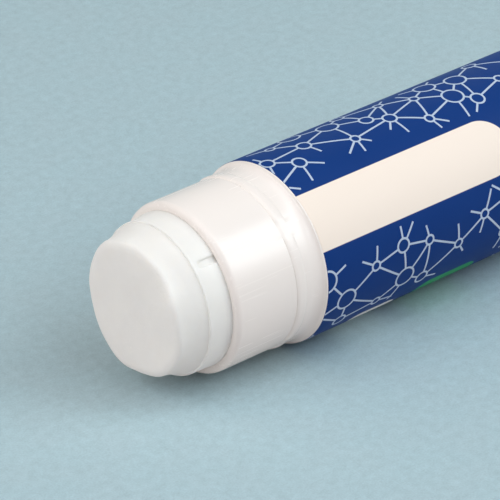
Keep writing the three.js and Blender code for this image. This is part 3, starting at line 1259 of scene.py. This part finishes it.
@dataclass
class LabelLines(SubAssembly):
    """The network of pale lines on the film, laid out flat and then bent round."""

    layout: NetworkLayout
    ink_height: float = 0.012 * MM
    ink_depth: float = 0.004 * MM
    line_width: float = 0.3 * MM
    ring_sides: int = 36
    bar_steps: int = 14
    hook_radius: float = 0.85 * MM
    hook_slant: float = 0.2
    edge_margin: float = 0.02 * MM

    def build(self) -> None:
        """Lays the lines out flat, trims them, gives them their thickness and bends them round."""
        layout = self.layout
        rings = [self.stamp_ring(size) for size in layout.ring_sizes]
        bar, hook = self.stamp_bar(), self.stamp_hook()
        copies = [self.copy_stamp(rings[knot.size], knot.spot) for knot in layout.knots]
        for start, end in layout.bars:
            way = end - start
            copies.append(self.copy_stamp(bar, start, math.atan2(way.y, way.x), way.length))
        copies += [self.copy_stamp(hook, spot, heading) for spot, heading in layout.hooks]
        for stamp in (*rings, bar, hook):
            bpy.data.objects.remove(stamp)
        self.bench.take(copies[0])
        for copy in copies:
            copy.select_set(True)
        bpy.ops.object.join()
        bpy.ops.object.transform_apply()
        sheet = bpy.context.object
        sheet.name = sheet.data.name = "label_lines"
        self.trim()
        self.bend_round(sheet)
        self.bench.put_down(sheet, self.finish)
        self.report(sheet, "barrel")

    def stamp_ring(self, radius: float) -> Piece:
        """A flat ring of ink to copy.

        Args:
            radius: of the middle of its line.

        Returns:
            The ring.
        """
        self.bench.begin()
        outer = radius + self.line_width / 2
        bpy.ops.mesh.primitive_circle_add(vertices=self.ring_sides, radius=outer, fill_type="NOTHING")
        self.bench.open_all()
        bpy.ops.mesh.extrude_edges_move()
        share = (radius - self.line_width / 2) / outer
        bpy.ops.transform.resize(value=(share, share, 1))
        bpy.ops.object.mode_set(mode="OBJECT")
        return bpy.context.object

    def stamp_bar(self) -> Piece:
        """A flat bar of ink, one metre long from its own origin, to copy and scale.

        Returns:
            The bar.
        """
        self.bench.begin()
        steps = {"x_subdivisions": self.bar_steps, "y_subdivisions": 1}
        bpy.ops.mesh.primitive_grid_add(size=1, location=(0.5, 0, 0), **steps)
        bpy.context.object.scale.y = self.line_width
        bpy.ops.object.transform_apply()
        return bpy.context.object

    def stamp_hook(self) -> Piece:
        """A flat open arc of ink that ends a line, to copy.

        Returns:
            The arc.
        """
        radius = self.hook_radius
        stamp = self.stamp_ring(radius)
        stamp.location.x = radius
        bpy.ops.object.transform_apply()
        self.bench.open_all()
        bpy.ops.mesh.bisect(plane_co=(radius, 0, 0), plane_no=(1, self.hook_slant, 0), clear_outer=True)
        bpy.ops.object.mode_set(mode="OBJECT")
        return stamp

    def copy_stamp(self, stamp: Piece, spot: Vector, heading: float = 0.0, length: float = 1.0) -> Piece:
        """A copy of a stamp, with its own mesh, at a spot of the flat sheet.

        Args:
            stamp: what is copied.
            spot: where its origin goes.
            heading: where its own X points.
            length: how far it is stretched along that.

        Returns:
            The copy.
        """
        copy = stamp.copy()
        copy.data = stamp.data.copy()
        copy.location = (spot.x, spot.y, 0)
        copy.rotation_euler.z = heading
        copy.scale.x = length
        bpy.context.scene.collection.objects.link(copy)
        return copy

    def trim(self) -> None:
        """Cuts the flat lines off at the film's edges and at its seam."""
        half_turn = math.pi * self.places.film_radius
        front = self.places.film_front + self.edge_margin
        rear = self.places.film_rear - self.edge_margin
        cuts = [
            ((half_turn, 0, 0), (1, 0, 0)),
            ((-half_turn, 0, 0), (-1, 0, 0)),
            ((0, front, 0), (0, -1, 0)),
            ((0, rear, 0), (0, 1, 0)),
        ]
        for spot, way in cuts:
            self.bench.open_all()
            bpy.ops.mesh.bisect(plane_co=spot, plane_no=way, clear_outer=True)
        self.bench.open_all()
        bpy.ops.mesh.delete_loose()
        self.bench.open_all()
        bpy.ops.mesh.normals_make_consistent(inside=False)
        bpy.ops.object.mode_set(mode="OBJECT")

    def bend_round(self, sheet: Piece) -> None:
        """Gives the flat lines their thickness and bends them round the film.

        Args:
            sheet: the flat lines, which end up on the film.
        """
        thick = sheet.modifiers.new("thickness", "SOLIDIFY")
        thick.thickness = self.ink_height + self.ink_depth
        thick.offset = 1.0
        self.bench.apply(sheet, thick)
        stand_up = Matrix.Rotation(math.pi / 2, 4, "X")
        lowest = min(vertex.co.z for vertex in sheet.data.vertices)
        sheet.data.transform(stand_up @ Matrix.Translation((0, 0, -lowest - self.ink_depth)))
        reaches = [vertex.co.x for vertex in sheet.data.vertices]
        bend = sheet.modifiers.new("bend", "SIMPLE_DEFORM")
        bend.deform_method = "BEND"
        bend.deform_axis = "Z"
        bend.angle = (max(reaches) - min(reaches)) / self.places.film_radius
        self.bench.apply(sheet, bend)
        onto_axis = Matrix(((0, 0, 1, 0), (-1, 0, 0, 0), (0, -1, 0, 0), (0, 0, 0, 1)))
        lift = Matrix.Translation((0, 0, self.places.axis_height + self.places.film_radius))
        sheet.data.transform(lift @ onto_axis)


class Push(NamedTuple):
    """A soft push that use has left in the glue, in millimetres.

    Args:
        behind_tip: where it is, behind the tip.
        radius: where it is, from the axis.
        degrees: where it is, from the top towards -Y.
        outwards: how far it moves the glue from the axis.
        backwards: how far it moves the glue towards the knob.
        reach: how far round it is felt.
    """

    behind_tip: float
    radius: float
    degrees: float
    outwards: float
    backwards: float
    reach: float


@dataclass
class Glue(SubAssembly):
    """The cast glue: stepped tip, tracks over the guide ribs and a foot inside the carrier."""

    sides: int = 480
    crease_degrees: float = 50
    bore_radius: float = 11.0 * MM
    grid_radius: float = 7.9 * MM
    face_radius: float = 9.52 * MM
    face_rounding: float = 1.25 * MM
    face_rounding_after: float = 0.7 * MM
    waist_radius: float = 9.7 * MM
    waist_place: float = 2.0 * MM
    waist_bend: float = 1.1 * MM
    tip_base_radius: float = 10.6 * MM
    tip_length: float = 4.6 * MM
    step_radius: float = 10.86 * MM
    step_rounding: float = 0.14 * MM
    seal_ahead: float = 0.5 * MM
    seal_gap: float = 0.005 * MM
    fine_pitch: float = 0.2 * MM
    hidden_pitch: float = 4.0 * MM
    sunk_stretch: float = 1.5 * MM
    stub_radius: float = 9.6 * MM
    sleeve_radius: float = 5.55 * MM
    core_radius: float = 4.25 * MM
    seat_gap: float = 0.1 * MM
    core_end: float = 5.55 * MM
    track_degrees: Span = (42.75, -137.25)
    track_half_width: float = 0.54 * MM
    track_depth: float = 0.3 * MM
    track_ahead: float = 2.7 * MM
    track_lip: float = 2.2
    lip_softness: float = 0.5
    pushes: tuple[Push, ...] = (
        Push(0.2, 9.2, -105, -0.22, 0.2, 6.5),
        Push(0.1, 9.1, -66, -0.16, 0.16, 4.0),
        Push(0.3, 9.3, 168, -0.22, 0.1, 4.4),
        Push(0.1, 9.2, -162, 0.26, 0.0, 3.2),
        Push(0.1, 9.2, 8, -0.16, 0.36, 3.6),
        Push(0.3, 9.1, 38, -0.26, 0.55, 4.2),
        Push(0.1, 9.2, 108, 0.2, 0.2, 5.0),
        Push(0.1, 9.15, -34, 0.12, 0.0, 1.6),
        Push(4.1, 10.42, -38, 0.2, 0.0, 1.7),
        Push(5.0, 10.9, -38, -0.22, 0.0, 2.6),
    )
    push_hold: float = 0.3 * MM
    lump_sizes: Span = (5.5 * MM, 1.7 * MM)
    lump_heights: Span = (0.12 * MM, 0.03 * MM)
    still_ahead: float = 0.3 * MM
    free_ahead: float = 2.2 * MM

    def build(self) -> None:
        """Builds the glue."""
        piece = self.bench.turn("glue_cast", self.profile(), self.sides)
        self.bench.close_with_grid(self.grid_radius, self.places.glue_tip, self.sides)
        for push in self.pushes:
            self.press_softly(push)
        for degrees in self.track_degrees:
            self.press_track(math.radians(degrees))
        self.bench.put_down(piece, self.finish, self.crease_degrees)
        self.add_lumps(piece)
        self.report(piece, "glue", "glue")

    def profile(self) -> list[Corner]:
        """The outline from the face over the step and the side to the foot and the core.

        Returns:
            The corners in order.
        """
        tip, mouth, fine = self.places.glue_tip, self.places.mouth, self.fine_pitch
        side, foot = self.places.glue_radius, self.places.glue_foot
        step = tip + self.tip_length
        waist = tip + self.waist_place
        sealed = self.bore_radius - self.seal_gap
        nut_front = self.places.carrier_front - self.seat_gap
        return [
            Corner(self.grid_radius, tip),
            Corner(self.face_radius, tip, self.face_rounding, self.face_rounding_after, arc_steps=10),
            Corner(self.waist_radius, waist, self.waist_bend, pitch=fine, arc_steps=10),
            Corner(self.tip_base_radius, step, pitch=fine),
            Corner(self.step_radius, step, self.step_rounding, pitch=fine, arc_steps=5),
            Corner(side, mouth - 2 * self.seal_ahead, pitch=fine),
            Corner(sealed, mouth - self.seal_ahead / 2, pitch=fine),
            Corner(sealed, mouth + self.sunk_stretch, pitch=fine),
            Corner(side, mouth + 2 * self.sunk_stretch, pitch=self.hidden_pitch),
            Corner(side, nut_front, pitch=self.hidden_pitch),
            Corner(self.stub_radius, nut_front),
            Corner(self.stub_radius, foot),
            Corner(self.sleeve_radius, foot),
            Corner(self.sleeve_radius, nut_front),
            Corner(self.core_radius, nut_front),
            Corner(self.core_radius, tip + self.core_end),
            Corner(0, tip + self.core_end),
        ]

    def press_softly(self, push: Push) -> None:
        """Pushes the glue softly, with proportional editing.

        Args:
            push: the push.
        """
        place, tip = self.places.point, self.places.glue_tip
        middle = Place(tip + push.behind_tip * MM, push.radius * MM, math.radians(push.degrees))
        spot = place(middle)
        self.bench.pick(Pick.POINTS, lambda other: (place(other) - spot).length < self.push_hold)
        outwards = place(middle._replace(radius=1.0)) - place(middle._replace(radius=0.0))
        bpy.ops.transform.translate(
            value=outwards * (push.outwards * MM) + Vector((push.backwards * MM, 0, 0)),
            use_proportional_edit=True,
            proportional_edit_falloff="SMOOTH",
            proportional_size=push.reach * MM,
        )

    def press_track(self, middle: float) -> None:
        """Presses one track with a round front end into the side, and softens its edges.

        Args:
            middle: the angle of its middle line.
        """
        half = self.track_half_width
        front = self.places.mouth - self.track_ahead + half
        side = self.places.glue_radius

        def off_track(place: Place) -> float:
            """How far a place of the side lies from the track's middle line.

            Args:
                place: the place.

            Returns:
                The distance, or infinity for a place deeper than the track.
            """
            if place.radius <= side - self.track_depth - TOUCH:
                return math.inf
            return math.hypot(angle_apart(place.angle, middle) * side, max(front - place.x, 0.0))

        self.bench.press(lambda place: off_track(place) < half, 1 - self.track_depth / side)
        self.bench.pick(Pick.POINTS, lambda place: half < off_track(place) < half * self.track_lip)
        bpy.ops.mesh.vertices_smooth(factor=self.lip_softness, repeat=1)

    def add_lumps(self, piece: Piece) -> None:
        """Makes the open part of the glue uneven, and leaves what is in the bore as it is.

        Args:
            piece: the glue.
        """
        group = piece.vertex_groups.new(name="open_part")
        still = self.places.mouth - self.still_ahead
        span = self.free_ahead - self.still_ahead
        for vertex in piece.data.vertices:
            share = min(max((still - vertex.co.x) / span, 0.0), 1.0)
            if share > 0:
                group.add([vertex.index], share, "REPLACE")
        for size, height in zip(self.lump_sizes, self.lump_heights):
            texture = bpy.data.textures.new("glue_lumps", "CLOUDS")
            texture.noise_scale = size
            lumps = piece.modifiers.new("lumps", "DISPLACE")
            lumps.texture = texture
            lumps.strength = height
            lumps.vertex_group = group.name
            self.bench.apply(piece, lumps)
        piece.vertex_groups.clear()


@dataclass
class Knob(SubAssembly):
    """The ribbed knob: grip with rounded flutes, end recess, hub and the spindle's socket."""

    ribs: int = 24
    points_to_rib: int = 12
    crease_degrees: float = 40
    rib_depth: float = 0.5 * MM
    grip_length: float = 10.0 * MM
    grip_pitch: float = 1.0 * MM
    end_rounding: float = 1.1 * MM
    front_rounding: float = 0.35 * MM
    ring_width: float = 2.7 * MM
    ring_rounding: float = 0.2 * MM
    recess_depth: float = 0.6 * MM
    recess_rounding: float = 0.25 * MM
    grid_radius: float = 0.3 * MM
    dimple_radius: float = 1.6 * MM
    dimple_depth: float = 0.25 * MM
    dimple_roundings: Span = (0.2 * MM, 0.1 * MM)
    hub_radius: float = 10.8 * MM
    hub_rounding: float = 0.3 * MM
    groove_radius: float = 10.35 * MM
    groove_half: float = 0.8 * MM
    groove_centre: float = 3.2 * MM
    moat_outer: float = 9.3 * MM
    boss_radius: float = 6.0 * MM
    moat_floor: float = 2.2 * MM
    socket_radius: float = 4.2 * MM
    socket_floor: float = 8.0 * MM

    def build(self) -> None:
        """Builds the knob."""
        profile = self.profile()
        sides = self.ribs * self.points_to_rib
        piece = self.bench.turn("ribbed_knob", profile, sides)
        self.bench.close_with_grid(profile[0].radius, profile[0].x, sides)
        self.press_flutes(profile, math.tau / sides)
        self.bench.put_down(piece, self.finish, self.crease_degrees)
        self.report(piece, "knob", "base_knob")

    def profile(self) -> list[Corner]:
        """The outline from the middle of the end face over the grip and the hub to the socket.

        Returns:
            The corners in order.
        """
        grip, hub = self.places.grip_radius, self.places.knob_front
        end = self.places.knob_rear
        front = end - self.grip_length
        recess = grip - self.end_rounding - self.ring_width
        floor = end - self.recess_depth
        dimple = floor - self.dimple_depth
        groove_rear = front - self.groove_centre + self.groove_half
        groove_front = front - self.groove_centre - self.groove_half
        moat, socket = end - self.moat_floor, end - self.socket_floor
        return [
            Corner(self.grid_radius, dimple),
            Corner(self.dimple_radius, dimple, self.dimple_roundings[0], arc_steps=4),
            Corner(self.dimple_radius, floor, self.dimple_roundings[1], arc_steps=3),
            Corner(recess, floor, self.recess_rounding, arc_steps=4),
            Corner(recess, end, self.ring_rounding, arc_steps=4),
            Corner(grip, end, self.end_rounding, arc_steps=10),
            Corner(grip, front, self.front_rounding, pitch=self.grip_pitch, arc_steps=5),
            Corner(self.hub_radius, front),
            Corner(self.hub_radius, groove_rear),
            Corner(self.groove_radius, groove_rear),
            Corner(self.groove_radius, groove_front),
            Corner(self.hub_radius, groove_front),
            Corner(self.hub_radius, hub, self.hub_rounding, arc_steps=3),
            Corner(self.moat_outer, hub),
            Corner(self.moat_outer, moat),
            Corner(self.boss_radius, moat),
            Corner(self.boss_radius, hub),
            Corner(self.socket_radius, hub),
            Corner(self.socket_radius, socket),
            Corner(0, socket),
        ]

    def press_flutes(self, profile: Sequence[Corner], step: float) -> None:
        """Presses the flutes between the ribs, ring by ring, where they are deeper than the ring.

        Args:
            profile: the knob's outline.
            step: angle from one point of a ring to the next.
        """
        points = self.points_to_rib
        rings = profile_rings(profile)
        for phase in range(1, points // 2 + 1):
            dip = self.rib_depth * (1 - math.cos(math.tau * phase / points)) / 2
            fluted = self.places.grip_radius - dip
            turns = (rib * points + side for rib in range(self.ribs) for side in (phase, -phase))
            middles = tuple(turn * step for turn in turns)
            for radius, x in rings:
                if radius > fluted:
                    self.bench.press(Zone.ring(radius, x, middles, step / 2).holds, fluted / radius)


@dataclass
class Works(SubAssembly):
    """The inner pieces, which stay as packed and get their finish."""

    nodes: tuple[str, ...] = ("screw_spindle", "glue_carrier")

    def build(self) -> None:
        """Dresses the spindle and the carrier."""
        for name in self.nodes:
            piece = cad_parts[name]
            self.finish.dress(piece)
            LOG.info("%s: dressed as packed", name)


@dataclass
class Table:
    """The table that the stick lies on."""

    places: StickFrame
    finish: TableTop
    width: float = 6.0

    def build(self) -> None:
        """Builds the table top."""
        bpy.ops.object.select_all(action="DESELECT")
        drop = self.places.axis_height - self.places.film_radius
        bpy.ops.mesh.primitive_plane_add(size=self.width, location=(0, 0, drop))
        bpy.ops.object.transform_apply()
        top = bpy.context.object
        top.name = self.finish.name
        self.finish.dress(top)


def stand(name: str, data: bpy.types.ID, spot: Vector, turn: Quaternion) -> Piece:
    """Puts a lamp or a camera in its place.

    Args:
        name: its name.
        data: the lamp or the camera.
        spot: where it stands.
        turn: how it is turned.

    Returns:
        The new object.
    """
    made = bpy.data.objects.new(name, data)
    made.location = spot
    made.rotation_mode = "QUATERNION"
    made.rotation_quaternion = turn
    bpy.context.scene.collection.objects.link(made)
    return made


@dataclass(frozen=True)
class SoftBox:
    """A square soft box that faces the stick's front half.

    Args:
        name: its name.
        azimuth: where it hangs round the stick, in degrees from +X towards +Y.
        elevation: how high it hangs, in degrees.
        power: in watts.
        colour: of its light.
        size: its width.
        distance: from the stick.
    """

    name: str
    azimuth: float
    elevation: float
    power: float
    colour: tuple[float, float, float] = (1.0, 1.0, 1.0)
    size: float = 0.32
    distance: float = 0.8

    def hang(self, target: Vector) -> None:
        """Hangs the box so that it faces a target.

        Args:
            target: the point that it faces.
        """
        turn, rise = math.radians(self.azimuth), math.radians(self.elevation)
        way = Vector((math.cos(turn) * math.cos(rise), math.sin(turn) * math.cos(rise), math.sin(rise)))
        data = bpy.data.lights.new(self.name, "AREA")
        data.shape = "SQUARE"
        data.size = self.size
        data.energy = self.power
        data.color = self.colour
        stand(self.name, data, target + way * self.distance, way.to_track_quat("Z", "Y"))


@dataclass
class Studio:
    """Soft boxes all round and a faint, even surround."""

    places: StickFrame
    boxes: tuple[SoftBox, ...] = (
        SoftBox("top", 0, 90, 1.36, (1.0, 0.94, 0.92), size=0.6),
        SoftBox("high_front_right", 315, 62, 1.0, (0.87, 0.95, 1.0)),
        SoftBox("front_right", 315, 40, 2.42, (0.9, 0.97, 1.0), size=0.42),
        SoftBox("low_front_right", 315, 22, 0.56),
        SoftBox("front", 270, 40, 0.72, (0.82, 0.91, 1.0)),
        SoftBox("low_left", 225, 9, 0.26, (1.0, 0.8, 0.7)),
        SoftBox("left", 180, 40, 2.95, (0.91, 0.95, 1.0), size=0.6),
        SoftBox("back_left", 135, 40, 1.56, (1.0, 0.9, 0.82), size=0.55),
        SoftBox("low_back_left", 135, 22, 0.2),
        SoftBox("low_back_right", 28, 9, 0.65, (1.0, 0.92, 0.82)),
    )
    surround: float = 0.02
    surround_colour: Colour = (1.0, 1.0, 1.0, 1)
    backdrop_colour: Colour = (0.37, 0.50, 0.54, 1)

    def build(self) -> None:
        """Builds the soft boxes and the surround."""
        target = Vector((self.places.mouth, 0, self.places.axis_height))
        for box in self.boxes:
            box.hang(target)
        world = bpy.data.worlds.new("surround")
        bpy.context.scene.world = world
        wires = Wires.afresh(world)
        lights = {"Color": self.surround_colour, "Strength": self.surround}
        light = wires.node("ShaderNodeBackground", lights)
        seen = wires.node("ShaderNodeBackground", {"Color": self.backdrop_colour, "Strength": 1.0})
        feeds = {0: wires.seen_ray(), 1: light.outputs[0], 2: seen.outputs[0]}
        mix = wires.node("ShaderNodeMixShader", feeds)
        wires.node("ShaderNodeOutputWorld", {"Surface": mix.outputs[0]})


@dataclass
class Viewpoint:
    """The camera, placed as the photograph was taken.

    Args:
        places: the stick's places.
        azimuth: round the stick, in degrees from looking along +Y.
        elevation: above the table, in degrees.
        distance: from the film's front edge.
        right: how far the camera is moved to its right.
        up: how far the camera is moved up.
        view_degrees: width of the view.
        clips: nearest and farthest distance that it sees.
    """

    places: StickFrame
    azimuth: float = -40.75
    elevation: float = 30.06
    distance: float = 491.4 * MM
    right: float = -1.85 * MM
    up: float = 0.35 * MM
    view_degrees: float = 7.813
    edge_ahead: float = 0.05 * MM
    clips: Span = (0.01, 20.0)

    def build(self) -> None:
        """Builds the camera."""
        turn, rise = math.radians(self.azimuth), math.radians(self.elevation)
        back = Vector((math.sin(turn) * math.cos(rise), -math.cos(turn) * math.cos(rise), math.sin(rise)))
        right = Vector((math.cos(turn), math.sin(turn), 0))
        up = back.cross(right)
        target = Vector((self.places.film_front - self.edge_ahead, 0, self.places.axis_height))
        data = bpy.data.cameras.new("camera")
        data.sensor_fit = "HORIZONTAL"
        data.angle = math.radians(self.view_degrees)
        data.clip_start, data.clip_end = self.clips
        spot = target + back * self.distance + right * self.right + up * self.up
        axes = Matrix((right, up, back)).transposed().to_quaternion()
        bpy.context.scene.camera = stand("camera", data, spot, axes)


CREAM: Colour = (0.95, 0.83, 0.725, 1)
GREEN: Colour = (0.03, 0.33, 0.13, 1)
WHITE: Colour = (0.8, 0.81, 0.8, 1)
PATCHES = (
    PatchOfInk(GREEN, 142.5, 3.9, 19.2, 29.9, 2.0),
    PatchOfInk(WHITE, 150.0, 4.5, 7.1, 15.5, 2.0),
    PatchOfInk(CREAM, 48.0, 4.2, -10.0, 35.8, 4.2),
)


def main() -> None:
    """Builds the stage and every sub-assembly in order."""
    logging.basicConfig(level=logging.INFO, format="%(name)s %(message)s")
    bpy.context.scene.view_settings.view_transform = "Standard"
    places = StickFrame.read()
    Viewpoint(places).build()
    Table(places, TableTop("table_top", slot="")).build()
    Studio(places).build()

    bench = Bench(places)
    Barrel(bench, MouldedPlastic("barrel_white", "barrel_plastic")).build()
    Label(bench, PrintedFilm("film_print", "film", places, PATCHES)).build()
    LabelLines(bench, LineInk("line_ink", "film"), NetworkLayout(places, PATCHES)).build()
    Glue(bench, WaxyGlue("waxy_glue", "glue")).build()
    grip = MouldedPlastic("knob_white", "knob_plastic", roughness=0.3, worn_roughness=0.45)
    Knob(bench, grip).build()
    inner = MouldedPlastic("inner_white", "inner_plastic", roughness=0.42, worn_roughness=0.5)
    Works(bench, inner).build()
    bench.begin()


if __name__ == "__main__":
    main()
